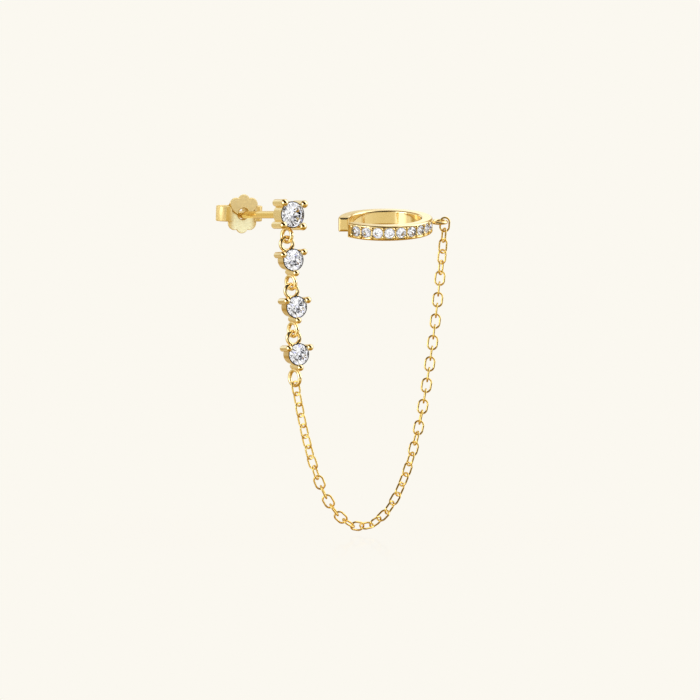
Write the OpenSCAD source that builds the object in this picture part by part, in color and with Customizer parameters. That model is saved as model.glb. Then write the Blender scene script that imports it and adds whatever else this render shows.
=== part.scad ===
// Ear chain earring: a four-prong stud, three hanging stones, a cable chain and an open ear cuff.
// Millimetres. The post runs along +Y, the stones face -Y and +Z is up.
// The origin is on the axis of the post, at the back plane of the stud's head.

/* [Stud] */
// Diameter of the stud's stone
stud_stone_d = 3; // [2.7:0.1:3.3]
// Diameter of a stud prong
stud_prong_d = 0.88; // [0.76:0.02:1]
// Depth of the stud's head, from the stone's girdle to the back plane
stud_depth = 2; // [1.8:0.1:2.4]
// Diameter of the ear post
post_d = 0.9; // [0.7:0.05:1.1]
// Length of the ear post behind the head
post_len = 12; // [11:0.5:14]

/* [Ear nut] */
// Length of post from the front of the ear nut to the post's tip
nut_to_tip = 1.8; // [1.6:0.05:3]
// Height of the flower-shaped plate
nut_h = 4.78; // [4.4:0.02:5.4]
// Width of the flower-shaped plate
nut_w = 3.9; // [3.6:0.02:4.4]
// Radius of the plate's upper and lower lobes
nut_lobe_r = 0.85; // [0.75:0.05:0.95]
// Radius of the plate's four side lobes
nut_side_lobe_r = 0.9; // [0.8:0.05:1]
// Thickness of the nut's sheet
nut_sheet = 0.28; // [0.24:0.02:0.34]
// Height of the two rolled arms
nut_arm_h = 1.9; // [1.6:0.1:2.2]
// Outer diameter of a rolled arm
nut_roll_d = 2.3; // [2:0.1:2.6]
// Angle through which a rolled arm curls back beside the post
nut_curl = 110; // [100:5:130]
// Distance between the outermost sides of the two rolled arms
nut_span = 6.1; // [5.8:0.1:6.6]
// Diameter of the hole in the plate
nut_hole_d = 1.36; // [1.3:0.02:1.5]
// Gap between the post and each rolled arm
nut_grip_gap = 0.09; // [0.08:0.01:0.14]
// Lean of the nut on the post, top towards the head
nut_tilt = 6; // [0:1:7]
// Height of the nut's hole above the axis of the post
nut_lift = 0.1; // [0:0.02:0.14]

/* [Hanging settings] */
// Diameter of a hanging stone
drop_stone_d = 2.5; // [2.2:0.1:2.8]
// Diameter of a hanging setting's prong
drop_prong_d = 0.76; // [0.66:0.02:0.86]
// Depth of a hanging setting, from the stone's girdle to its back plane
drop_depth = 2; // [1.8:0.1:2.3]
// Lean of the prongs towards the axis at the back
drop_prong_lean = 4; // [2:1:6]
// How much smaller a hanging cup's radius is at its back than at its rim
drop_taper = 0.14; // [0.08:0.02:0.2]
// Diameter of the hole behind a hanging stone
drop_back_hole_d = 1; // [0.6:0.1:1.2]

/* [Settings and stones] */
// Wall of a cup outside its stone
cup_rim = 0.1; // [0.08:0.01:0.14]
// Bevel at the back edge of a cup
cup_bevel = 0.14; // [0.1:0.02:0.2]
// How much wider a prong's ball tip is than the prong
tip_extra = 0.05; // [0.02:0.01:0.08]
// How far a ball tip laps over the edge of its stone
prong_lap = 0.07; // [0.04:0.01:0.1]
// Height of a ball tip's centre above the girdle
prong_rise = 0.3; // [0.26:0.02:0.36]
// Rounding of a prong's flat back end
prong_end_r = 0.12; // [0.08:0.02:0.2]
// Gap between a stone and its seat
stone_gap = 0.02; // [0.015:0.005:0.04]
// Width of the table as a share of a stone's diameter
table_share = 0.56; // [0.52:0.01:0.62]
// Height of the crown as a share of a stone's diameter
crown_share = 0.15; // [0.13:0.01:0.17]
// Thickness of the girdle as a share of a stone's diameter
girdle_share = 0.03; // [0.02:0.01:0.04]
// Depth of the pavilion as a share of a stone's diameter
pavilion_share = 0.42; // [0.4:0.01:0.44]

/* [Soldered rings] */
// Outer diameter of the rings that join the settings
ring_od = 2.05; // [1.9:0.05:2.3]
// Outer diameter of the ring that holds the chain
chain_ring_od = 2.3; // [2.1:0.05:2.6]
// Thickness of a ring from its hole to its outside
ring_wall = 0.45; // [0.4:0.01:0.48]
// Width of a ring along its axis
ring_width = 0.5; // [0.48:0.01:0.54]
// How deep a ring is sunk into what it is soldered to
ring_sink = 0.15; // [0.1:0.01:0.2]
// Gap where one ring hangs in another
ring_play = 0.12; // [0.1:0.01:0.16]
// Distance of the rings behind the girdle
ring_setback = 1.38; // [1.2:0.02:1.5]
// Turn of the lower rings away from the face of the setting
ring_turn = 74; // [70:1:90]

/* [Chain] */
// Number of links
link_count = 47; // [43:1:53]
// Outer length of a link
link_len = 1.92; // [1.8:0.02:2]
// Outer width of a link
link_w = 1.33; // [1.25:0.01:1.45]
// Diameter of the link wire
link_wire = 0.23; // [0.16:0.01:0.24]
// Gap where one link hangs in the next
link_gap = 0.14; // [0.13:0.01:0.18]

/* [Ear cuff] */
// Inner diameter of the cuff
cuff_id = 8.8; // [8:0.1:10]
// Thickness of the cuff's band
cuff_wall = 1.35; // [1.2:0.05:1.6]
// Height of the cuff's band
cuff_h = 1.84; // [1.78:0.02:2.2]
// Radius of the band's edges
cuff_edge_r = 0.22; // [0.15:0.01:0.3]
// Rounding of the band's two ends
cuff_end_r = 0.3; // [0.2:0.02:0.34]
// Opening of the cuff, in degrees
cuff_open = 35; // [28:1:38]
// Angle from the front of the cuff to the near side of its opening
cuff_open_start = 55; // [54:1:58]
// Sideways place of the cuff's centre
cuff_x = 15.4; // [14:0.1:17]
// Depth of the cuff's centre behind the back of the stud's head
cuff_y = 2.3; // [1:0.1:3.5]
// Height of the cuff's centre
cuff_z = -1.2; // [-3:0.1:1]
// Turn of the cuff about the vertical
cuff_yaw = -30; // [-40:1:-20]
// Lean of the cuff towards its front
cuff_tilt = 11; // [6:0.5:15]
// Diameter of a cuff stone
cuff_stone_d = 1.25; // [1.15:0.05:1.3]
// Angle between neighbouring cuff stones
cuff_stone_pitch = 15; // [14.6:0.1:15.2]
// Angle from the front of the cuff to its first stone
cuff_stone_start = -40.2; // [-41:0.1:-39]
// Depth of the stones' channel
channel_depth = 0.22; // [0.2:0.01:0.26]
// Width of the rail above and below the channel
channel_rail = 0.2; // [0.16:0.01:0.22]
// Angle of the channel beyond the beads at each end
channel_end = 3.5; // [3:0.5:4]
// Diameter of the beads between the stones
bead_d = 0.56; // [0.52:0.01:0.6]
// How far a bead is set into the rail beside it
bead_sink = 0.06; // [0.03:0.01:0.08]
// Thickness of the bar between two beads
bead_bar = 0.1; // [0.06:0.01:0.12]
// Outer diameter of the cuff's loop
loop_od = 2.1; // [1.8:0.05:2.3]
// Diameter of the loop's wire
loop_wire = 0.4; // [0.3:0.02:0.46]
// Angle from the end of the stones' channel to the cuff's loop
loop_clear = 7.2; // [6.2:0.1:13.2]
// Height of the loop above the middle of the band
loop_rise = 0.15; // [0.1:0.05:0.5]

/* [Hidden] */
$fn = 48;
// Small length by which a cutting shape runs past what it cuts
past = 0.5;
// Small overlap of two shapes that meet end to end in one piece
seam = 0.02;
// Number of stones in the cuff, a node each
cuff_stone_n = 9;

gold = [0.93, 0.80, 0.50];
clear = [0.90, 0.93, 0.97];

// How the three settings hang. Columns: lean of the ring step, roll of the face, turn of the face
HANG = [
    [-2, 7, -4],
    [4, 2.5, -6],
    [4, 2, -5]
];
LEAN = 0;
ROLL = 1;
TURN = 2;

// Prongs of a setting. Columns: number, angle of the first one
STUD_PRONGS = [4, 41.5];
DROP_PRONGS = [3, 30];

// Roll of the even links about the chain. Columns: share of the chain's links, degrees
LINK_ROLL = [[0.14, 71], [0.21, 32], [0.42, 30], [0.63, -30], [0.88, -32], [1, -115]];

// Radii of a cut stone's inner corners, as shares of its radius
star_share = 0.78;
lower_share = 0.22;
// Angle between a cut stone's main facets
facet_turn = 45;

// Heights of a cut stone of diameter d above its girdle's middle
function girdle_z(d) = girdle_share * d / 2;
function table_z(d) = girdle_z(d) + crown_share * d;
function star_z(d) = girdle_z(d)
    + crown_share * d * (1 - star_share * cos(facet_turn / 2)) / (1 - table_share);
function lower_z(d) = -girdle_z(d) - pavilion_share * d * (1 - lower_share * cos(facet_turn / 2));
function culet_z(d) = -girdle_z(d) - pavilion_share * d;

nut_seat = post_len - nut_to_tip;
cuff_r = cuff_id / 2 + cuff_wall;
cuff_girdle_r = cuff_r - channel_depth;
bead_z = cuff_h / 2 - channel_rail - bead_d / 2 + bead_sink;

// Radius from a setting's axis to the centre of its ball tips
function tip_r(stone_d, prong_d) = stone_d / 2 + (prong_d + tip_extra) / 2 - prong_lap;

// Distance from a stone's centre to the rings of its setting
drop_cup_r = drop_stone_d / 2 + cup_rim;
upper_ring_h = drop_cup_r + ring_od / 2 - ring_wall;
drop_prong_side = tip_r(drop_stone_d, drop_prong_d)
    - (ring_setback + prong_rise) * tan(drop_prong_lean) + drop_prong_d / 2;
function lower_ring_h(od) = drop_prong_side + od / 2 - ring_sink;
stud_ring_h = stud_stone_d / 2 + cup_rim + ring_od / 2 - ring_sink;
ring_step = ring_od - 2 * ring_wall - ring_play;
function lower_ring_od(i) = i == len(HANG) - 1 ? chain_ring_od : ring_od;

// Places of the hanging settings, worked down from the stud's ring
function down(lean) = [sin(lean), 0, -cos(lean)];
function upper_ring(i) = lower_ring(i - 1) + ring_step * down(HANG[i][LEAN]);
function lower_ring(i) = i < 0
    ? [0, ring_setback - stud_depth, -stud_ring_h]
    : hang_centre(i) + lower_ring_h(lower_ring_od(i)) * turned_down(i);
function hang_centre(i) = upper_ring(i) + upper_ring_h * turned_down(i);
function turned_down(i) = let (way = down(HANG[i][ROLL]))
    [way[0] * cos(HANG[i][TURN]), way[0] * sin(HANG[i][TURN]), way[2]];

// Angles from the front of the cuff: stone k, counted from 1, the ends of the channel, and the loop
function stone_angle(k) = cuff_stone_start + (k - 1) * cuff_stone_pitch;
channel_start = stone_angle(1) - cuff_stone_pitch / 2 - channel_end;
channel_stop = stone_angle(cuff_stone_n) + cuff_stone_pitch / 2 + channel_end;
loop_angle = channel_stop + loop_clear;

// A point of the cuff's own frame, in the frame of the part
function cuff_point(p) = let (
    y = p[1] * cos(cuff_tilt) - p[2] * sin(cuff_tilt),
    z = p[1] * sin(cuff_tilt) + p[2] * cos(cuff_tilt)
) [
    cuff_x + p[0] * cos(cuff_yaw) - y * sin(cuff_yaw),
    cuff_y + p[0] * sin(cuff_yaw) + y * cos(cuff_yaw),
    cuff_z + z
];

// The hanging chain is a catenary between the last ring and the cuff's loop
function hyp_sine(x) = (exp(x) - exp(-x)) / 2;
function inv_hyp_sine(x) = ln(x + sqrt(x * x + 1));
function inv_hyp_tangent(x) = ln((1 + x) / (1 - x)) / 2;
function sag_size(width, slack, low, high, steps) = let (mid = (low + high) / 2)
    steps == 0 ? mid
    : 2 * mid * hyp_sine(width / (2 * mid)) > slack
        ? sag_size(width, slack, mid, high, steps - 1)
        : sag_size(width, slack, low, mid, steps - 1);

// Smallest and largest sag that the solver tries, and how often it halves the range between them
sag_low = 0.5;
sag_high = 60;
sag_steps = 50;

link_pitch = link_len - 2 * link_wire - link_gap;
chain_len = (link_count - 1) * link_pitch + link_len - link_wire;

// The first link hangs in the last ring: the ring's axis and the way to its lowest point
last = len(HANG) - 1;
ring_bearing = ring_turn - HANG[last][TURN];
ring_tip = sin(ring_turn) * sin(HANG[last][ROLL]);
ring_axis = [sin(ring_bearing) * sqrt(1 - pow(ring_tip, 2)), cos(ring_bearing), ring_tip];
ring_low = (ring_tip * ring_axis - [0, 0, 1]) / norm(ring_tip * ring_axis - [0, 0, 1]);
hook_r = chain_ring_od / 2 - ring_wall - link_gap - link_wire / 2;
chain_start = lower_ring(last) + hook_r * ring_low;

// The last link hangs on the side of the cuff's loop
loop_centre_r = cuff_r + loop_od / 2 - ring_sink;
loop_side_r = (loop_od - loop_wire) / 2;
loop_side = cuff_point([
    loop_centre_r * sin(loop_angle) + loop_side_r * cos(cuff_yaw),
    -loop_centre_r * cos(loop_angle) - loop_side_r * sin(cuff_yaw),
    loop_rise
]);
chain_end = loop_side + [0, 0, (loop_wire + link_wire) / 2 + link_gap];
chain_run = chain_end - chain_start;
chain_bearing = atan2(chain_run[1], chain_run[0]);
chain_width = norm([chain_run[0], chain_run[1]]);
chain_rise = chain_run[2];
sag = sag_size(chain_width, sqrt(pow(chain_len, 2) - pow(chain_rise, 2)),
    sag_low, sag_high, sag_steps);
low_x = chain_width / 2 - sag * inv_hyp_tangent(chain_rise / chain_len);
low_s = sag * hyp_sine(low_x / sag);

// Module: puts its children where a stone faces -Y, with their +Y up
module facing_front() rotate([90, 0, 0]) children();

// Cut stone with its girdle at z = 0 and its table towards +Z
module cut_stone(d) {
    r = d / 2;
    count = 360 / facet_turn;
    function corner(k, radius, z) = [
        radius * cos(k * facet_turn), radius * sin(k * facet_turn), z
    ];
    points = concat(
        [for (k = [0 : count - 1]) corner(k, table_share * r, table_z(d))],
        [for (k = [0 : count - 1]) corner(k + 0.5, star_share * r, star_z(d))],
        [for (k = [0 : 2 * count - 1]) corner(k / 2, r, girdle_z(d))],
        [for (k = [0 : 2 * count - 1]) corner(k / 2, r, -girdle_z(d))],
        [for (k = [0 : count - 1]) corner(k + 0.5, lower_share * r, lower_z(d))],
        [[0, 0, culet_z(d)]]
    );
    function table(k) = k % count;
    function star(k) = count + (k + count) % count;
    function upper(k) = 2 * count + k % (2 * count);
    function under(k) = 4 * count + k % (2 * count);
    function lower(k) = 6 * count + (k + count) % count;
    culet = 7 * count;
    polyhedron(points, concat(
        [[for (k = [0 : count - 1]) table(count - 1 - k)]],
        [for (k = [0 : count - 1]) [table(k), table(k + 1), star(k)]],
        [for (k = [0 : count - 1]) [table(k), star(k), upper(2 * k), star(k - 1)]],
        [for (k = [0 : count - 1]) [star(k), upper(2 * k + 1), upper(2 * k)]],
        [for (k = [0 : count - 1]) [star(k), upper(2 * k + 2), upper(2 * k + 1)]],
        [for (k = [0 : 2 * count - 1]) [upper(k), upper(k + 1), under(k + 1), under(k)]],
        [for (k = [0 : count - 1]) [lower(k), under(2 * k), under(2 * k + 1)]],
        [for (k = [0 : count - 1]) [lower(k), under(2 * k + 1), under(2 * k + 2)]],
        [for (k = [0 : count - 1]) [culet, lower(k - 1), under(2 * k), lower(k)]]
    ));
}

// Space that a stone of diameter d needs, with the gap all round
module stone_seat(d) {
    r = d / 2;
    rotate_extrude() polygon([
        [0, culet_z(d) - stone_gap],
        [lower_share * r + stone_gap, lower_z(d) - stone_gap],
        [r + stone_gap, -girdle_z(d) - stone_gap],
        [r + stone_gap, girdle_z(d) + stone_gap],
        [star_share * r + stone_gap, star_z(d) + stone_gap],
        [table_share * r + stone_gap, table_z(d) + stone_gap],
        [table_share * r + stone_gap, table_z(d) + past],
        [0, table_z(d) + past]
    ]);
}

// Pin with a ball end centred on the origin, running to a flat end with a rounded edge at z = reach
module ball_pin(shaft_d, ball_d, reach) {
    edge_x = shaft_d / 2 - prong_end_r;
    rotate_extrude() {
        intersection() {
            circle(d = ball_d);
            translate([0, -ball_d]) square([ball_d, 2 * ball_d]);
        }
        square([shaft_d / 2, reach - prong_end_r]);
        square([edge_x, reach]);
        translate([edge_x, reach - prong_end_r]) circle(r = prong_end_r);
    }
}

// Ring about the Z axis with a rounded band section
module band_ring(od) {
    flat = (ring_width - ring_wall) / 2;
    rotate_extrude() translate([(od - ring_wall) / 2, 0]) {
        for (side = [-1, 1]) translate([0, side * flat]) circle(d = ring_wall);
        square([ring_wall, 2 * flat], center = true);
    }
}

// Cup with its rim at the girdle, narrower at its back by the taper
module cup(stone_d, depth, taper) {
    r = stone_d / 2 + cup_rim;
    rotate_extrude() polygon([
        [0, -depth],
        [r - taper - cup_bevel, -depth],
        [r - taper, cup_bevel - depth],
        [r, 0],
        [0, 0]
    ]);
}

// Prongs round a cup, of the given number and first angle
module prongs(stone_d, depth, prong_d, layout, lean) {
    for (k = [0 : layout[0] - 1]) rotate([0, 0, layout[1] + k * 360 / layout[0]])
        translate([tip_r(stone_d, prong_d), 0, prong_rise])
            rotate([0, 180 + lean, 0])
                ball_pin(prong_d, prong_d + tip_extra, depth + prong_rise);
}

module stud_setting() color(gold) {
    difference() {
        translate([0, -stud_depth, 0]) facing_front() {
            cup(stud_stone_d, stud_depth, 0);
            prongs(stud_stone_d, stud_depth, stud_prong_d, STUD_PRONGS, 0);
        }
        translate([0, -stud_depth, 0]) facing_front() stone_seat(stud_stone_d);
    }
    rotate([-90, 0, 0]) translate([0, 0, -past]) cylinder(d = post_d, h = post_len + past - post_d / 2);
    translate([0, post_len - post_d / 2, 0]) sphere(d = post_d);
    translate(lower_ring(-1)) facing_front() rotate([0, -ring_turn, 0]) band_ring(ring_od);
}

module stud_stone() color(clear)
    translate([0, -stud_depth, 0]) facing_front() cut_stone(stud_stone_d);

// Puts its children at the stone of hanging setting i, which is turned about the line of its rings
module at_drop(i) {
    translate(hang_centre(i)) rotate([0, 0, HANG[i][TURN]]) translate([0, -ring_setback, 0])
        facing_front() rotate([0, 0, HANG[i][ROLL]]) children();
}

module drop_setting(i) color(gold) {
    at_drop(i) {
        difference() {
            union() {
                cup(drop_stone_d, drop_depth, drop_taper);
                prongs(drop_stone_d, drop_depth, drop_prong_d, DROP_PRONGS, drop_prong_lean);
            }
            stone_seat(drop_stone_d);
            translate([0, 0, -drop_depth - past]) cylinder(d = drop_back_hole_d, h = drop_depth + past);
        }
        translate([0, upper_ring_h, -ring_setback]) band_ring(ring_od);
        translate([0, -lower_ring_h(lower_ring_od(i)), -ring_setback])
            rotate([0, -ring_turn, 0]) band_ring(lower_ring_od(i));
    }
}

module drop_stone(i) color(clear) at_drop(i) cut_stone(drop_stone_d);

// Flower-shaped outline of the nut's plate
module nut_outline() {
    side_z = nut_h / 2 - nut_lobe_r - nut_side_lobe_r / 2;
    for (up = [-1, 1]) {
        translate([0, up * (nut_h / 2 - nut_lobe_r)]) circle(r = nut_lobe_r);
        for (side = [-1, 1])
            translate([side * (nut_w / 2 - nut_side_lobe_r), up * side_z]) circle(r = nut_side_lobe_r);
    }
    square([nut_span - nut_roll_d + 2 * seam, nut_arm_h], center = true);
    square([nut_w - 2 * nut_side_lobe_r, nut_h - 2 * nut_lobe_r], center = true);
}

// One rolled arm: round the outside, straight across the back and round to the post
module nut_arm() {
    outer_x = (nut_span - nut_roll_d) / 2;
    inner_x = post_d / 2 + nut_grip_gap + nut_roll_d / 2;
    mid_r = (nut_roll_d - nut_sheet) / 2;
    translate([outer_x, nut_roll_d / 2, 0]) rotate([0, 0, -90]) arc_wall(mid_r, 180);
    translate([inner_x, nut_roll_d / 2, 0]) rotate([0, 0, 90]) arc_wall(mid_r, nut_curl);
    translate([inner_x, nut_roll_d - nut_sheet, -nut_arm_h / 2])
        cube([outer_x - inner_x, nut_sheet, nut_arm_h]);
}

// Upright wall of the nut's sheet bent to a radius, from angle 0 on
module arc_wall(mid_r, angle) {
    rotate_extrude(angle = angle) translate([mid_r, 0]) square([nut_sheet, nut_arm_h], center = true);
}

module ear_nut() color(gold) {
    translate([0, nut_seat, nut_lift]) rotate([nut_tilt, 0, 0]) {
        difference() {
            translate([0, nut_sheet, 0]) rotate([90, 0, 0]) linear_extrude(nut_sheet) nut_outline();
            rotate([-90, 0, 0]) translate([0, 0, -past]) cylinder(d = nut_hole_d, h = nut_sheet + 2 * past);
        }
        nut_arm();
        mirror([1, 0, 0]) nut_arm();
    }
}

// Half of a link's round end, in the XY plane with its middle towards +X
module link_end() {
    mid_r = (link_w - link_wire) / 2;
    rotate([0, 0, -90]) rotate_extrude(angle = 180) translate([mid_r, 0]) circle(d = link_wire);
}

// Link along X, lying in the XY plane
module link() {
    straight = link_len - link_w;
    for (end = [0, 180]) rotate([0, 0, end]) {
        translate([straight / 2, 0, 0]) link_end();
        translate([-straight / 2, (link_w - link_wire) / 2, 0]) rotate([0, 90, 0])
            cylinder(d = link_wire, h = straight);
    }
}

module cable_chain() color(gold) translate(chain_start) rotate([0, 0, chain_bearing])
    for (i = [0 : link_count - 1]) {
        s = (link_len - link_wire) / 2 + i * link_pitch - low_s;
        x = low_x + sag * inv_hyp_sine(s / sag);
        z = sqrt(sag * sag + s * s) - sqrt(sag * sag + low_s * low_s);
        turn = lookup(i / (link_count - 1), concat([[0, ring_bearing]], LINK_ROLL)) + 90 * (i % 2);
        translate([x, 0, z]) rotate([0, -atan(s / sag), 0]) rotate([turn, 0, 0]) link();
    }

// Puts its children in the cuff's frame: front towards -Y, axis along +Z
module at_cuff() translate([cuff_x, cuff_y, cuff_z]) rotate([cuff_tilt, 0, cuff_yaw]) children();

// Turns its children so that their +X points out of the cuff at an angle from its front
module around_cuff(angle) rotate([0, 0, angle - 90]) children();

// Rounded outline of the cuff's band
module band_outline() {
    square([cuff_wall - 2 * cuff_edge_r, cuff_h], center = true);
    square([cuff_wall, cuff_h - 2 * cuff_edge_r], center = true);
    for (side = [-1, 1], up = [-1, 1])
        translate([side * (cuff_wall / 2 - cuff_edge_r), up * (cuff_h / 2 - cuff_edge_r)])
            circle(r = cuff_edge_r);
}

// Cutter that rounds an edge to a radius about the Z axis, in the quarter of +X and +Y
module edge_cutter(r, length) linear_extrude(length, center = true) difference() {
    square(r + past);
    circle(r = r);
}

// Rounds the four edges of a band's end whose face is at y = 0, with the band at y < 0
module end_cutters() {
    for (side = [0, 1]) {
        mirror([side, 0, 0]) translate([cuff_wall / 2 - cuff_end_r, -cuff_end_r, 0])
            edge_cutter(cuff_end_r, cuff_h + past);
        mirror([0, 0, side]) translate([0, -cuff_end_r, cuff_h / 2 - cuff_end_r]) rotate([0, -90, 0])
            edge_cutter(cuff_end_r, cuff_wall + past);
    }
}

// Two beads and the bar between them, half-way between two stones
module bead_pair() {
    for (up = [-1, 1]) translate([cuff_r - bead_d / 2, 0, up * bead_z]) rotate([0, -90, 0])
        ball_pin(bead_d, bead_d, channel_depth + bead_d / 2);
    translate([cuff_girdle_r - past / 2, -bead_bar / 2, -bead_z])
        cube([past / 2 + channel_depth / 2, bead_bar, 2 * bead_z]);
}

module ear_cuff() color(gold) at_cuff() {
    difference() {
        union() {
            difference() {
                around_cuff(-cuff_open_start) rotate_extrude(angle = 360 - cuff_open)
                    translate([cuff_r - cuff_wall / 2, 0]) band_outline();
                around_cuff(channel_start) rotate_extrude(angle = channel_stop - channel_start)
                    translate([cuff_girdle_r, channel_rail - cuff_h / 2])
                        square([channel_depth + past, cuff_h - 2 * channel_rail]);
            }
            for (k = [0 : cuff_stone_n]) around_cuff(stone_angle(k + 0.5)) bead_pair();
        }
        for (k = [1 : cuff_stone_n]) around_cuff(stone_angle(k))
            translate([cuff_girdle_r, 0, 0]) rotate([0, 90, 0]) stone_seat(cuff_stone_d);
        around_cuff(-cuff_open_start) translate([cuff_r - cuff_wall / 2, 0, 0])
            mirror([0, 1, 0]) end_cutters();
        around_cuff(360 - cuff_open - cuff_open_start) translate([cuff_r - cuff_wall / 2, 0, 0])
            end_cutters();
    }
    around_cuff(loop_angle) translate([loop_centre_r, 0, loop_rise])
        rotate_extrude() translate([(loop_od - loop_wire) / 2, 0]) circle(d = loop_wire);
}

module cuff_stone(k) color(clear) at_cuff() around_cuff(stone_angle(k))
    translate([cuff_girdle_r, 0, 0]) rotate([0, 90, 0]) cut_stone(cuff_stone_d);

stud_setting();
stud_stone();
ear_nut();
drop_setting(0);  // drop_setting_1
drop_setting(1);  // drop_setting_2
drop_setting(2);  // drop_setting_3
drop_stone(0);  // drop_stone_1
drop_stone(1);  // drop_stone_2
drop_stone(2);  // drop_stone_3
cable_chain();
ear_cuff();
cuff_stone(1);  // cuff_stone_1
cuff_stone(2);  // cuff_stone_2
cuff_stone(3);  // cuff_stone_3
cuff_stone(4);  // cuff_stone_4
cuff_stone(5);  // cuff_stone_5
cuff_stone(6);  // cuff_stone_6
cuff_stone(7);  // cuff_stone_7
cuff_stone(8);  // cuff_stone_8
cuff_stone(9);  // cuff_stone_9
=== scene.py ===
# Looks of the ear chain earring: polished gold plate, cut stones, studio light and camera.
import bmesh
import bpy
import math
from mathutils import Matrix, Vector


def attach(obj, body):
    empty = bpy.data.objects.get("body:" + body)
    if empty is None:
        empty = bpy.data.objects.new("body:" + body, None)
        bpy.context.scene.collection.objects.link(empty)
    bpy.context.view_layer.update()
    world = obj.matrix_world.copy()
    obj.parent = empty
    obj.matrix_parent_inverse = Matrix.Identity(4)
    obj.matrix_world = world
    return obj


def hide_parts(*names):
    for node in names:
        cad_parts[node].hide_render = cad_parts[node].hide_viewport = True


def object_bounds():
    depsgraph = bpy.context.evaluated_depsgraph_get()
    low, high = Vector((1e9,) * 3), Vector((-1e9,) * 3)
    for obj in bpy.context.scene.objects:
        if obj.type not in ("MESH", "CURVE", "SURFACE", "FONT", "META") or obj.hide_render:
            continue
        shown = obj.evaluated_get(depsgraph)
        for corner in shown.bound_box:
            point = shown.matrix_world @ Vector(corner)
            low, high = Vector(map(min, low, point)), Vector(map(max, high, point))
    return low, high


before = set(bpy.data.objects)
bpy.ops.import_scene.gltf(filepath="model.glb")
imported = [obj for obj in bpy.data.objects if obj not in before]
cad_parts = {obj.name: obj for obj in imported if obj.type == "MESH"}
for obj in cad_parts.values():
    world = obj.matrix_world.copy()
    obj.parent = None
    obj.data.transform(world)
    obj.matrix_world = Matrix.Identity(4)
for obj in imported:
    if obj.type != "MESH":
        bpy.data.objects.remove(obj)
cad_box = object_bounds()
MM = 0.001

# Colours, linear
CREAM = (0.965, 0.939, 0.871, 1)
WHITE = (1, 1, 1, 1)
GOLD = (0.93, 0.74, 0.37)
POST_GOLD = (0.92, 0.66, 0.21)
CHAIN_GOLD = (0.90, 0.645, 0.19)
# Painted light: the ear nut's sheet is a pale, lit copy of its gold, standing for the brightly lit plate
SHEET_LIT_GOLD = (0.90, 0.89, 0.64)
# Painted shade on the sides of the nut's plate, where it turns to the arms
WING_SHADE_GOLD = (0.60, 0.39, 0.09)
# Painted shade: the nut's upper flap is a darker, shaded copy of the same gold
FLAP_SHADE_GOLD = (0.73, 0.58, 0.29)
# Painted shade: a deeper, shaded copy of the gold on the nut's faces that turn from its front, its edges
# and arms
EDGE_SHADE_GOLD = (0.80, 0.61, 0.26)
# Painted shade in the crease at the flap's foot and round the hole
CREASE_SHADE_GOLD = (0.52, 0.31, 0.05)
CROWN_GLASS = (1.0, 1.0, 1.0)
# Painted glint: the rim facets' pale blue tint stands for the lavender-blue glints at the stones' rims
RIM_GLINT_GLASS = (0.90, 0.92, 1.0)
FOIL = (0.985, 0.985, 0.985)
FROST = (0.42, 0.44, 0.50)

# Finishes: how metallic, how rough, how strong the grain is
PLATE_FINISH = (0.92, 0.07, 0.08)
FLAP_FINISH = (0.1, 0.25, 0.02)
EDGE_FINISH = (0.3, 0.25, 0.02)
CREASE_FINISH = (0.1, 0.3, 0.02)
FROST_FINISH = (0.0, 0.6, 0.02)
MIRROR_ROUGHNESS = 0.055
SHEET_ROUGHNESS = 0.4
# Share of the light that passes through the stones' facets, and how they bend it
CROWN_CLEAR = 1.0
# The rim's share that is not clear shows its pale blue tint as a painted glint
RIM_CLEAR = 0.92
STONE_IOR = 1.6

# Cloudy patches and fine grain: scale of the noise, per metre, and its detail
PLATE_CLOUD = (900.0, 3.0)
SHEET_CLOUD = (1400.0, 2.0)
GLASS_CLOUD = (1500.0, 1.0)
FOIL_CLOUD = (2500.0, 1.0)
GRAIN = (9000.0, 2.0)
# Height of the grain, millimetres
GRAIN_HEIGHT = 0.01
# What is left of a tint in the patches, and how far from the middle of the noise they end
PLATE_DIP = 0.97
GLASS_DIP = 0.98
PLATE_SPREAD = 0.2
FOIL_SPREAD = 0.15
# Share of the roughness that the plate has everywhere, and what the patches add
ROUGH_BASE = 0.7
ROUGH_CLOUD = 0.6
# How far the patches blur the place where a colour deepens
MOTTLE = 0.08

# Places along the post's axis, millimetres. The settings are a mirror in front of the first and
# softer behind the second
MIRROR_UNTIL = -1.95
SOFT_FROM = -1.65
# Their colour deepens between these two, from the stud's head to its post
HEAD_UNTIL = -0.1
POST_FROM = 0.6

# Camera: angles in degrees, lengths in millimetres, the picture's side in pixels
CAMERA_AZIMUTH = -29.93
CAMERA_ELEVATION = 1.5
CAMERA_DISTANCE = 600
CAMERA_TARGET = (7.87, -16.24)
CAMERA_NEAR = 10
PIXELS_PER_MM = 8.332
PICTURE_SIDE = 700
SENSOR = 36

# Ear nut, millimetres and degrees, as in the part's source, apart from the tilt, which is 2 degrees less
POST_D = 0.9
POST_LEN = 12
NUT_TO_TIP = 1.8
NUT_LIFT = 0.1
NUT_TILT = 4
NUT_H = 4.78
NUT_W = 3.9
NUT_LOBE_R = 0.85
NUT_SIDE_LOBE_R = 0.9
NUT_SHEET = 0.28
NUT_ARM_H = 1.9
NUT_ROLL_D = 2.3
NUT_CURL = 110
NUT_SPAN = 6.1
NUT_HOLE_D = 1.36
NUT_GRIP_GAP = 0.09
# How far an arm's strip reaches in over the plate
ARM_LAP = 0.3
# The plate's upper flap is a disc that leans to the head, in front of the lower half
FLAP_CENTRE_Z = 1.8
FLAP_R = 2.04
FLAP_STEP = 0.18
FLAP_LEAN = 2.5
FLAP_WALL = 0.05
# The crease at the flap's foot is painted dark, as shade, within this distance of it
CREASE_SHADE_HALF = 1.5 * FLAP_WALL
# Distances from the plate's middle between which a painted shade deepens its colour, where it turns to
# the arms
WING_SHADE_START = 0.9
WING_SHADE_STOP = 2.1

# Corners of a square card, in halves of its side
SQUARE = ((-1, -1), (1, -1), (1, 1), (-1, 1))


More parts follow.
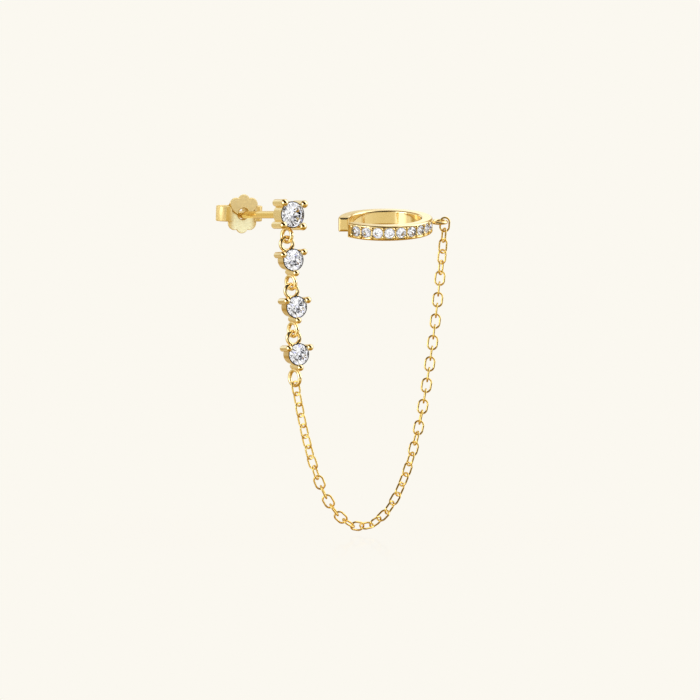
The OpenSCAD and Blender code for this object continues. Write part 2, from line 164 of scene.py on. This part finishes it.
class Tree:
    """A node tree that is written one node at a time."""

    def __init__(self, tree):
        tree.nodes.clear()
        self.tree = tree

    def add(self, kind, settings=None, **inputs):
        """A node. An input goes by its name, with _ for a space, or by its number, as in i0."""
        node = self.tree.nodes.new(kind)
        for name, value in (settings or {}).items():
            setattr(node, name, value)
        for name, value in inputs.items():
            numbered = name[0] == "i" and name[1:].isdigit()
            socket = node.inputs[int(name[1:]) if numbered else name.replace("_", " ")]
            if isinstance(value, bpy.types.NodeSocket):
                self.tree.links.new(value, socket)
            else:
                socket.default_value = value
        return node

    def math(self, operation, a, b=0.0, c=0.0):
        return self.add("ShaderNodeMath", {"operation": operation}, i0=a, i1=b, i2=c).outputs[0]

    def vector(self, operation, a, b):
        """Number that two vectors give, such as their distance."""
        node = self.add("ShaderNodeVectorMath", {"operation": operation}, i0=a, i1=tuple(b))
        return node.outputs["Value"]

    def axis(self, vector, name):
        return self.add("ShaderNodeSeparateXYZ", Vector=vector).outputs[name]

    def place(self):
        """Point of the surface in the shared frame."""
        return self.add("ShaderNodeTexCoord").outputs["Object"]

    def noise(self, place, scale, detail):
        node = self.add("ShaderNodeTexNoise", Vector=place, Scale=scale, Detail=detail)
        return node.outputs["Fac"]

    def fade(self, value, start, stop, low=0.0, high=1.0):
        """Smooth step from low at the start to high at the stop."""
        return self.add("ShaderNodeMapRange", {"interpolation_type": "SMOOTHSTEP"}, Value=value,
                        From_Min=start, From_Max=stop, To_Min=low, To_Max=high).outputs[0]

    def blend(self, factor, under, over):
        """Colour that goes from under to over as the factor rises."""
        over = over if isinstance(over, bpy.types.NodeSocket) else (*over, 1)
        node = self.add("ShaderNodeMix", {"data_type": "RGBA"}, i0=factor, i6=under, i7=over)
        return node.outputs[2]

    def ramp(self, factor, stops):
        """Colour that runs through the stops, each a place and a colour."""
        node = self.add("ShaderNodeValToRGB", Fac=factor)
        while len(node.color_ramp.elements) < len(stops):
            node.color_ramp.elements.new(0.5)
        for element, (place, color) in zip(node.color_ramp.elements, stops):
            element.position = place
            element.color = color if len(color) == 4 else (*color, 1)
        return node.outputs["Color"]

    def patches(self, cloud, tint, dip, spread):
        """Tint that dips a little in cloudy patches."""
        dipped = tuple(c * dip for c in tint)
        return self.ramp(cloud, [(0.5 - spread, dipped), (0.5 + spread, tint)])

    def deepen(self, share, cloud, tint, deep_tint):
        """Tint that goes over into a deeper one as the share rises, blurred by the patches."""
        blurred = self.math("ADD", share, self.math("MULTIPLY_ADD", cloud, MOTTLE, -MOTTLE / 2))
        return self.ramp(blurred, [(0.0, tint), (1.0, deep_tint)])

    def surface(self, **inputs):
        """Finish the tree with one principled shader."""
        self.finish(self.add("ShaderNodeBsdfPrincipled", **inputs).outputs[0])

    def mix(self, factor, under, over, kind="ShaderNodeOutputMaterial"):
        """Finish the tree with a mix of two shaders."""
        self.finish(self.add("ShaderNodeMixShader", i0=factor, i1=under, i2=over).outputs[0], kind)

    def finish(self, shader, kind="ShaderNodeOutputMaterial"):
        self.tree.links.new(shader, self.add(kind).inputs["Surface"])


def new_material(name):
    material = bpy.data.materials.new(name)
    material.use_nodes = True
    return material, Tree(material.node_tree)


def surface_material(name, tint, metallic, roughness, grain):
    """Plated or frosted surface with a faint orange-peel and a slightly uneven colour."""
    material, tree = new_material(name)
    place = tree.place()
    cloud = tree.noise(place, *PLATE_CLOUD)
    rough = tree.math("MULTIPLY_ADD", cloud, roughness * ROUGH_CLOUD, roughness * ROUGH_BASE)
    bump = tree.add("ShaderNodeBump", Height=tree.noise(place, *GRAIN), Strength=grain,
                    Distance=GRAIN_HEIGHT * MM)
    tree.surface(Base_Color=tree.patches(cloud, tint, PLATE_DIP, PLATE_SPREAD), Metallic=metallic,
                 Roughness=rough, Normal=bump.outputs["Normal"])
    return material


def setting_material(name, tint, post_tint):
    """Plate of the settings: a mirror on the front balls, softer behind them, deeper on the post."""
    soft_metallic, soft_roughness = PLATE_FINISH[:2]
    material, tree = new_material(name)
    place = tree.place()
    depth = tree.axis(place, "Y")
    on_post = tree.fade(depth, HEAD_UNTIL * MM, POST_FROM * MM)
    behind = tree.fade(depth, MIRROR_UNTIL * MM, SOFT_FROM * MM)
    metallic = tree.math("MULTIPLY_ADD", behind, soft_metallic - 1, 1.0)
    rough = tree.math("MULTIPLY_ADD", behind, soft_roughness - MIRROR_ROUGHNESS, MIRROR_ROUGHNESS)
    color = tree.deepen(on_post, tree.noise(place, *PLATE_CLOUD), tint, post_tint)
    tree.surface(Base_Color=color, Metallic=metallic, Roughness=rough)
    return material


def sheet_material(name, tint, side_shade_tint):
    """Plate of the ear nut: satin, with a painted shade that deepens its colour where it turns to the
    arms.
    """
    material, tree = new_material(name)
    place = tree.place()
    aside = tree.math("ABSOLUTE", tree.axis(place, "X"))
    share = tree.fade(aside, WING_SHADE_START * MM, WING_SHADE_STOP * MM)
    color = tree.deepen(share, tree.noise(place, *SHEET_CLOUD), tint, side_shade_tint)
    tree.surface(Base_Color=color, Metallic=0.0, Roughness=SHEET_ROUGHNESS)
    return material


def glass_material(name, tint, clear):
    """Crown of a cut stone."""
    material, tree = new_material(name)
    cloud = tree.noise(tree.place(), *GLASS_CLOUD)
    tree.surface(Base_Color=tree.patches(cloud, tint, GLASS_DIP, PLATE_SPREAD), Roughness=0.0,
                 IOR=STONE_IOR, Transmission_Weight=clear)
    return material


def foil_material(name):
    """Pavilion of a cut stone, which throws the light back as the real facets do."""
    material, tree = new_material(name)
    cloud = tree.noise(tree.place(), *FOIL_CLOUD)
    tree.surface(Base_Color=tree.patches(cloud, FOIL, PLATE_DIP, FOIL_SPREAD), Metallic=1.0,
                 Roughness=0.0)
    return material


def dress(obj, *materials):
    obj.data.materials.clear()
    for material in materials:
        obj.data.materials.append(material)


def new_object(name, points, faces, smooth_angle=None):
    mesh = bpy.data.meshes.new(name)
    mesh.from_pydata([tuple(p) for p in points], [], faces)
    if smooth_angle is not None:
        mesh.shade_smooth()
        mesh.set_sharp_from_angle(angle=math.radians(smooth_angle))
    obj = bpy.data.objects.new(name, mesh)
    bpy.context.scene.collection.objects.link(obj)
    return obj


# Stones: places of their materials
CROWN, RIM, PAVILION, GIRDLE = 0, 1, 2, 3
# Share of the stone's radius past which a crown facet counts as rim
RIM_SHARE = 0.8
# Largest lean of a girdle's face to the stone's axis, as a cosine
GIRDLE_LEAN = 0.1
# Points closer than this become one, metres
WELD = 0.000001
# Faces that turn less than this from each other become one facet, radians
FACET_TURN = 0.01


def make_stone(node):
    """The CAD stone's own facets, flat: clear crown, rim with a painted pale blue glint, frosted girdle,
    mirror pavilion.
    """
    shape = bmesh.new()
    shape.from_mesh(node.data)
    bmesh.ops.remove_doubles(shape, verts=shape.verts, dist=WELD)
    bmesh.ops.dissolve_limit(shape, angle_limit=FACET_TURN, verts=shape.verts, edges=shape.edges)
    shape.normal_update()
    table = max(shape.faces, key=lambda face: face.calc_area())
    axis = table.normal.copy()
    centre = table.calc_center_median()

    def off_axis(point):
        return (point - centre).cross(axis).length

    radius = max(off_axis(v.co) for v in shape.verts)
    shape.verts.index_update()
    piece = new_object("cut_" + node.name, [v.co for v in shape.verts],
                       [[v.index for v in face.verts] for face in shape.faces])
    dress(piece, crown_glass, rim_glint_glass, foil, frost)
    for polygon, face in zip(piece.data.polygons, shape.faces):
        lean = face.normal.dot(axis)
        if abs(lean) < GIRDLE_LEAN:
            polygon.material_index = GIRDLE
        elif lean < 0:
            polygon.material_index = PAVILION
        elif off_axis(face.calc_center_median()) > RIM_SHARE * radius:
            polygon.material_index = RIM
        else:
            polygon.material_index = CROWN
    shape.free()
    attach(piece, "earring")
    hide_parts(node.name)


# Ear nut, a flower-shaped plate with a flap, and two arms of rolled strip: places of its materials,
# which paint its light and shade
SHEET, FLAP, EDGE, PAINTED_CREASE = 0, 1, 2, 3
# Points round the plate, rings from its hole to its outline, steps along an arm's curve
PLATE_TURNS = 480
PLATE_RINGS = 56
ARM_TURNS = 48
# The sheet's rounded edge: its radius in millimetres, its steps
EDGE_R = 0.12
EDGE_STEPS = 4
# A face that leans more from the plate's front than this counts as its edge, as a cosine
FLAT_SHARE = 0.93
# Creases sharper than this stay sharp, degrees
SHARP_ANGLE = 50
# Stands for zero where a number divides
TINY = 1e-6


def smooth_step(value, start, stop):
    t = min(max((value - start) / (stop - start), 0), 1)
    return t * t * (3 - 2 * t)


def plate_reach(angle):
    """Distance from the hole's centre to the outline of the plate."""
    way = Vector((math.cos(angle), math.sin(angle)))
    side_z = NUT_H / 2 - NUT_LOBE_R - NUT_SIDE_LOBE_R / 2
    lobes = [(0, side * (NUT_H / 2 - NUT_LOBE_R), NUT_LOBE_R) for side in (-1, 1)]
    lobes += [(x * (NUT_W / 2 - NUT_SIDE_LOBE_R), z * side_z, NUT_SIDE_LOBE_R)
              for x in (-1, 1) for z in (-1, 1)]
    half_width = (NUT_SPAN - NUT_ROLL_D) / 2
    reach = min(half_width / max(abs(way.x), TINY), NUT_ARM_H / 2 / max(abs(way.y), TINY))
    for x, z, radius in lobes:
        off = way.x * z - way.y * x
        if abs(off) < radius:
            reach = max(reach, way.x * x + way.y * z + math.sqrt(radius ** 2 - off ** 2))
    return reach


def plate_front(x, z):
    """Height of the plate's front, towards the head, over the foot of the flap."""
    on_flap = smooth_step(FLAP_R - math.hypot(x, z - FLAP_CENTRE_Z), -FLAP_WALL, FLAP_WALL)
    lean = math.tan(math.radians(FLAP_LEAN)) * (z - FLAP_CENTRE_Z + FLAP_R)
    return on_flap * max(lean, 0) - (1 - on_flap) * FLAP_STEP


def plate_mesh():
    """Rings of points from the front of the hole, over the outline's rounded edge, to the back."""
    points, faces = [], []
    hole_r = NUT_HOLE_D / 2
    quarter = [k * math.pi / 2 / EDGE_STEPS for k in range(EDGE_STEPS + 1)]
    edge = [(math.sin(turn), 1 - math.cos(turn)) for turn in quarter]
    # A row is a ring: its share of the way from hole to outline, what is added to that, and its depth
    rows = [(0, (1 - out) * EDGE_R, down * EDGE_R) for out, down in reversed(edge)]
    rows += [(k / PLATE_RINGS, EDGE_R * (1 - 2 * k / PLATE_RINGS), 0) for k in range(1, PLATE_RINGS)]
    rows += [(1, (out - 1) * EDGE_R, down * EDGE_R) for out, down in edge]
    rows += [(share, inset, NUT_SHEET - depth) for share, inset, depth in reversed(rows)]
    for share, inset, depth in rows:
        for k in range(PLATE_TURNS):
            angle = 2 * math.pi * k / PLATE_TURNS
            radius = hole_r + (plate_reach(angle) - hole_r) * share + inset
            x, z = radius * math.cos(angle), radius * math.sin(angle)
            points.append((x, depth - plate_front(x, z), z))
    for row in range(len(rows)):
        below = (row + 1) % len(rows)
        for k in range(PLATE_TURNS):
            after = (k + 1) % PLATE_TURNS
            faces.append((row * PLATE_TURNS + k, row * PLATE_TURNS + after,
                          below * PLATE_TURNS + after, below * PLATE_TURNS + k))
    return points, faces


def strip_mesh(path, height, sheet):
    """Closed strip of sheet with rounded edges, standing along a path of (x, y) points."""
    corners = []
    for quarter, (right, top) in enumerate(((1, 1), (-1, 1), (-1, -1), (1, -1))):
        for k in range(EDGE_STEPS + 1):
            angle = math.pi / 2 * (quarter + k / EDGE_STEPS)
            corners.append((right * (sheet / 2 - EDGE_R) + EDGE_R * math.cos(angle),
                            top * (height / 2 - EDGE_R) + EDGE_R * math.sin(angle)))
    points, faces, count = [], [], len(corners)
    for k, (x, y) in enumerate(path):
        before, after = Vector(path[max(k - 1, 0)]), Vector(path[min(k + 1, len(path) - 1)])
        way = (after - before).normalized()
        for out, up in corners:
            points.append((x - way.y * out, y + way.x * out, up))
    for row in range(len(path) - 1):
        for k in range(count):
            after = (k + 1) % count
            faces.append((row * count + k, row * count + after,
                          (row + 1) * count + after, (row + 1) * count + k))
    faces.append(tuple(range(count - 1, -1, -1)))
    faces.append(tuple(range((len(path) - 1) * count, len(path) * count)))
    return points, faces


def arm_path(side):
    """From the plate round the outside of the arm, across its back and round to the post."""
    mid_r = (NUT_ROLL_D - NUT_SHEET) / 2
    outer_x = (NUT_SPAN - NUT_ROLL_D) / 2
    inner_x = POST_D / 2 + NUT_GRIP_GAP + NUT_ROLL_D / 2
    path = [(outer_x - ARM_LAP, NUT_SHEET / 2)]
    for middle_x, start, turn in ((outer_x, -90, 180), (inner_x, 90, NUT_CURL)):
        for k in range(ARM_TURNS + 1):
            angle = math.radians(start + turn * k / ARM_TURNS)
            path.append((middle_x + mid_r * math.cos(angle), NUT_ROLL_D / 2 + mid_r * math.sin(angle)))
    return [(side * x, y) for x, y in path]


def nut_material(centre, flat):
    """Place of a face's material, from its middle on the nut and whether it lies flat."""
    past_flap = math.hypot(centre.x, centre.z - FLAP_CENTRE_Z) - FLAP_R
    at_hole = math.hypot(centre.x, centre.z) < NUT_HOLE_D / 2 + EDGE_R
    # Painted shade: crease colour at the flap's foot and round the hole, shaded copies on edges and
    # flap, a lit copy elsewhere
    if (at_hole or abs(past_flap) < CREASE_SHADE_HALF) and abs(centre.y) < NUT_SHEET:
        return PAINTED_CREASE
    if not flat:
        return EDGE
    return SHEET if past_flap > 0 else FLAP


def make_ear_nut():
    points, faces = plate_mesh()
    for side in (-1, 1):
        more_points, more_faces = strip_mesh(arm_path(side), NUT_ARM_H, NUT_SHEET)
        faces += [tuple(i + len(points) for i in face) for face in more_faces]
        points += more_points
    place = (Matrix.Translation((0, (POST_LEN - NUT_TO_TIP) * MM, NUT_LIFT * MM))
             @ Matrix.Rotation(math.radians(NUT_TILT), 4, "X") @ Matrix.Scale(MM, 4))
    piece = new_object("ear_nut_sheet", [place @ Vector(p) for p in points], faces, SHARP_ANGLE)
    shape = bmesh.new()
    shape.from_mesh(piece.data)
    bmesh.ops.recalc_face_normals(shape, faces=shape.faces)
    shape.to_mesh(piece.data)
    shape.free()
    dress(piece, sheet_lit_gold, flap_shade_gold, edge_shade_gold, crease_shade_gold)
    front = place.to_3x3().normalized() @ Vector((0, 1, 0))
    back_way = place.inverted()
    for polygon in piece.data.polygons:
        flat = abs(polygon.normal.dot(front)) > FLAT_SHARE
        polygon.material_index = nut_material(back_way @ polygon.center, flat)
    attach(piece, "ear_nut")
    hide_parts("ear_nut")


def studio_way(azimuth, elevation):
    """Direction with the camera's angles: azimuth 0 looks from -Y, 90 from +X."""
    azimuth, elevation = math.radians(azimuth), math.radians(elevation)
    return Vector((math.sin(azimuth) * math.cos(elevation), -math.cos(azimuth) * math.cos(elevation),
                   math.sin(elevation)))


def cosine(degrees):
    return math.cos(math.radians(degrees))


def sine(degrees):
    return math.sin(math.radians(degrees))


def rise(elevation):
    """Height of a direction as a share, 0 straight down and 1 straight up."""
    return sine(elevation) / 2 + 0.5


# Walls of the studio: elevation in degrees, colour
WALLS = [
    (-90, (0.40, 0.22, 0.03)),
    (-50, (0.43, 0.26, 0.04)),
    (-30, (0.54, 0.37, 0.10)),
    (-24.5, (0.78, 0.69, 0.46)),
    (-16, (0.92, 0.86, 0.70)),
    (-5, (1.0, 0.97, 0.90)),
    (20, (0.98, 0.98, 0.96)),
    (45, (1.0, 1.0, 1.0)),
    (90, (1.1, 1.1, 1.15)),
]
# The darker far side: azimuth and elevation of its middle, degrees
FAR_MIDDLE = (150, -2)
# Degrees from that middle up to which it is thinned, at which it is full, and from which it is gone
FAR_SIDE = (14, 38, 62)
# Share of it that is missing where it is thinned
FAR_THINNING = 0.4
FAR_COLOR = (0.45, 0.28, 0.05)
# Soft boxes and dark cards: azimuth, elevation, full radius and edge radius in degrees, colour
BOXES = [
    (-82, 7, 14, 23, (4.0, 4.3, 5.0)),
    (-84, -20, 4, 24, (1.7, 1.75, 1.8)),
    (74, 20, 14, 26, (2.2, 2.4, 2.9)),
    (52, 12, 12, 24, (2.4, 2.7, 3.3)),
    (64, 50, 18, 32, (2.2, 2.2, 2.3)),
    (152, 25, 8, 18, (0.84, 0.77, 0.60)),
    (-172, 22, 9, 20, (1.08, 1.2, 1.35)),
    (-150, 0, 14, 26, (0.72, 0.66, 0.50)),
    (-152, 44, 12, 26, (0.50, 0.32, 0.07)),
    (-134, -16, 4, 16, (0.50, 0.36, 0.10)),
    (-172, -34, 8, 24, (0.86, 0.76, 0.56)),
]
# The dark card, in degrees: azimuth and elevation of its two ends, half its width at each end
CARD_ENDS = ((-69, 58), (-2, -4))
CARD_WIDTHS = (19, 31)
# Elevations between which the card's lower edge fades
CARD_FOOT = (-15, -9)
# Cosines of the turn from its middle between which the card starts, so that it has no twin behind
CARD_SIDE = (0.0, 0.1)
# Its soft edge and its fringe, in halves of its width
CARD_EDGE = 0.16
CARD_FRINGE = 0.3
CARD_COLOR = (0.012, 0.008, 0.004)
FRINGE_COLOR = (0.42, 0.25, 0.05)
# What the stones throw back: many small lights and dark gaps, by the value of a noise
GLINT_NOISE = (4.0, 2.0)
GLINTS = [
    (0.34, (0.01, 0.01, 0.01)),
    (0.405, (0.15, 0.15, 0.16)),
    (0.445, (0.58, 0.58, 0.61)),
    (0.495, (1.05, 1.05, 1.05)),
    (0.66, (1.5, 1.5, 1.5)),
    (0.69, (0.45, 0.5, 1.3)),
]
# What lights the satin sheet: share of the height from below to above, colour
SOFT_WALLS = [(0.25, (0.70, 0.50, 0.20)), (0.5, (1.3, 1.3, 1.2)), (0.8, (1.45, 1.5, 1.45))]


def studio_color(tree, way, height):
    """Walls with their darker far side, the soft boxes and the cards."""
    color = tree.ramp(height, [(rise(elevation), tint) for elevation, tint in WALLS])
    far = tree.vector("DOT_PRODUCT", way, studio_way(*FAR_MIDDLE))
    core, inner, outer = (cosine(angle) for angle in FAR_SIDE)
    thinned = tree.math("MULTIPLY_ADD", tree.fade(far, inner, core), -FAR_THINNING, 1.0)
    dark = tree.math("MULTIPLY", tree.fade(far, outer, inner), thinned)
    color = tree.blend(dark, color, FAR_COLOR)
    for azimuth, elevation, inner, outer, tint in BOXES:
        towards = tree.vector("DOT_PRODUCT", way, studio_way(azimuth, elevation))
        color = tree.blend(tree.fade(towards, cosine(outer), cosine(inner)), color, tint)
    return color


def card_color(tree, way, height, color):
    """The studio with the long dark card before it, which has round ends and an amber fringe."""
    first, second = (studio_way(*end) for end in CARD_ENDS)
    middle, along = (first + second).normalized(), (second - first).normalized()
    half_length = math.sin(middle.angle(first))
    first_half, second_half = (sine(width) for width in CARD_WIDTHS)
    share = tree.math("MULTIPLY_ADD", tree.vector("DOT_PRODUCT", way, along), 0.5 / half_length, 0.5)
    within = tree.math("MINIMUM", tree.math("MAXIMUM", share, 0.0), 1.0)
    half = tree.math("MULTIPLY_ADD", within, second_half - first_half, first_half)
    off_line = tree.vector("DOT_PRODUCT", way, along.cross(middle))
    aside = tree.math("DIVIDE", tree.math("ABSOLUTE", off_line), half)
    past_first = tree.math("SUBTRACT", 0.0, share)
    past_second = tree.math("SUBTRACT", share, 1.0)
    past = tree.math("MAXIMUM", tree.math("MAXIMUM", past_second, past_first), 0.0)
    past = tree.math("DIVIDE", tree.math("MULTIPLY", past, 2 * half_length), half)
    squares = [tree.math("POWER", leg, 2.0) for leg in (aside, past)]
    out = tree.math("SQRT", tree.math("ADD", *squares))
    on_side = tree.fade(tree.vector("DOT_PRODUCT", way, middle), *CARD_SIDE)
    above_foot = tree.fade(height, *(rise(elevation) for elevation in CARD_FOOT))
    shown = tree.math("MULTIPLY", on_side, above_foot)
    for fringe, tint in ((CARD_FRINGE, FRINGE_COLOR), (0.0, CARD_COLOR)):
        covers = tree.fade(out, 1.0 + fringe + CARD_EDGE, 1.0 + fringe)
        color = tree.blend(tree.math("MULTIPLY", covers, shown), color, tint)
    return color


def make_world():
    """The camera sees plain cream, the metal the studio, the stones glints and the satin soft walls."""
    world = bpy.data.worlds.new("studio")
    bpy.context.scene.world = world
    world.use_nodes = True
    tree = Tree(world.node_tree)
    way = tree.add("ShaderNodeTexCoord").outputs["Generated"]
    height = tree.math("MULTIPLY_ADD", tree.axis(way, "Z"), 0.5, 0.5)
    color = card_color(tree, way, height, studio_color(tree, way, height))
    rays = tree.add("ShaderNodeLightPath").outputs
    glints = tree.ramp(tree.noise(way, *GLINT_NOISE), GLINTS)
    color = tree.blend(rays["Is Transmission Ray"], color, glints)
    color = tree.blend(rays["Is Diffuse Ray"], color, tree.ramp(height, SOFT_WALLS))
    room = tree.add("ShaderNodeBackground", Color=color).outputs[0]
    plain = tree.add("ShaderNodeBackground", Color=CREAM).outputs[0]
    tree.mix(rays["Is Camera Ray"], room, plain, "ShaderNodeOutputWorld")


# Soft reflector that brightens the right end of the cuff: the place that it shines on and, from there,
# its azimuth and elevation in degrees. Its distance, half its side and its full glow's radius follow
REFLECTOR_AIM = (19.7, -0.2, -0.3)
REFLECTOR_WAY = (150, 23.5)
REFLECTOR_DISTANCE = 26
REFLECTOR_HALF = 9
REFLECTOR_CORE = 3
REFLECTOR_COLOR = (1.2, 1.2, 1.15, 1)


def make_reflector():
    """Card with a soft edge, seen only in the metal."""
    way = studio_way(*REFLECTOR_WAY)
    centre = (Vector(REFLECTOR_AIM) + way * REFLECTOR_DISTANCE) * MM
    across = way.cross(Vector((0, 0, 1))).normalized()
    up = across.cross(way)
    corners = [centre + (across * x + up * y) * REFLECTOR_HALF * MM for x, y in SQUARE]
    card = new_object("reflector", corners, [(0, 1, 2, 3)])
    material, tree = new_material("reflector_glow")
    off = tree.vector("DISTANCE", tree.place(), centre)
    share = tree.fade(off, REFLECTOR_CORE * MM, REFLECTOR_HALF * MM, 1.0, 0.0)
    glow = tree.add("ShaderNodeEmission", Color=REFLECTOR_COLOR).outputs[0]
    clear = tree.add("ShaderNodeBsdfTransparent").outputs[0]
    tree.mix(share, clear, glow)
    dress(card, material)
    card.visible_camera = False
    card.visible_diffuse = False
    card.visible_transmission = False
    card.visible_shadow = False


# Floor, in metres: half its side, how far it lies under the object
FLOOR_HALF = 3.0
FLOOR_DROP = 0.0003
# Its faint reflection: how strong it is, how rough, and between which distances it fades, in metres
SHINE = 0.1
SHINE_ROUGHNESS = 0.05
SHINE_REACH = (0.02, 0.07)
# The reflection shows only along the floor: from which share of a grazing look, to which
SHINE_LOOK = (0.86, 0.95)
# What the floor glows more where it mirrors the dim far side, so that it stays even
SHINE_FILL = (0.033, 0.039, 0.049)


def make_floor(height):
    centre = (cad_box[0] + cad_box[1]) / 2
    corners = [(x * FLOOR_HALF, y * FLOOR_HALF, height) for x, y in SQUARE]
    floor = new_object("floor", corners, [(0, 1, 2, 3)])
    material, tree = new_material("pale_floor")
    off = tree.vector("DISTANCE", tree.place(), (centre.x, centre.y, height))
    near = tree.fade(off, *SHINE_REACH, SHINE, 0.0)
    grazing = tree.fade(tree.add("ShaderNodeLayerWeight").outputs["Facing"], *SHINE_LOOK)
    shine = tree.math("MULTIPLY", near, grazing)
    filled = tuple(c + more for c, more in zip(CREAM, SHINE_FILL))
    even = tree.ramp(tree.math("DIVIDE", shine, SHINE), [(0.0, CREAM), (1.0, filled)])
    glow = tree.add("ShaderNodeEmission", Color=even).outputs[0]
    mirror = tree.add("ShaderNodeBsdfGlossy", Color=WHITE, Roughness=SHINE_ROUGHNESS).outputs[0]
    tree.mix(shine, glow, mirror)
    dress(floor, material)
    floor.visible_glossy = False
    floor.visible_transmission = False
    floor.visible_diffuse = False


def make_camera():
    back = studio_way(CAMERA_AZIMUTH, CAMERA_ELEVATION)
    right = Vector((cosine(CAMERA_AZIMUTH), sine(CAMERA_AZIMUTH), 0))
    up = back.cross(right)
    target = (right * CAMERA_TARGET[0] + up * CAMERA_TARGET[1]) * MM
    data = bpy.data.cameras.new("camera")
    data.sensor_width = SENSOR
    data.lens = PIXELS_PER_MM * CAMERA_DISTANCE / PICTURE_SIDE * SENSOR
    data.clip_start = CAMERA_NEAR * MM
    camera = bpy.data.objects.new("camera", data)
    place = target + back * CAMERA_DISTANCE * MM
    camera.matrix_world = Matrix.Translation(place) @ Matrix((right, up, back)).transposed().to_4x4()
    bpy.context.scene.collection.objects.link(camera)
    bpy.context.scene.camera = camera


gold = surface_material("gold_plate", GOLD, *PLATE_FINISH)
chain_gold = surface_material("chain_gold", CHAIN_GOLD, *PLATE_FINISH)
setting_gold = setting_material("setting_gold", GOLD, POST_GOLD)
sheet_lit_gold = sheet_material("sheet_lit_gold", SHEET_LIT_GOLD, WING_SHADE_GOLD)
flap_shade_gold = surface_material("flap_shade_gold", FLAP_SHADE_GOLD, *FLAP_FINISH)
edge_shade_gold = surface_material("edge_shade_gold", EDGE_SHADE_GOLD, *EDGE_FINISH)
crease_shade_gold = surface_material("crease_shade_gold", CREASE_SHADE_GOLD, *CREASE_FINISH)
crown_glass = glass_material("crown_glass", CROWN_GLASS, CROWN_CLEAR)
rim_glint_glass = glass_material("rim_glint_glass", RIM_GLINT_GLASS, RIM_CLEAR)
foil = foil_material("pavilion_mirror")
frost = surface_material("girdle_frost", FROST, *FROST_FINISH)

for name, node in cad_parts.items():
    if "stone" in name:
        dress(node, crown_glass)
        make_stone(node)
    elif "setting" in name:
        dress(node, setting_gold)
    elif "chain" in name:
        dress(node, chain_gold)
    else:
        dress(node, gold)
make_ear_nut()

make_world()
make_reflector()
make_floor(cad_box[0][2] - FLOOR_DROP)
make_camera()
scene = bpy.context.scene
scene.view_settings.view_transform = "Standard"
scene.view_settings.look = "None"
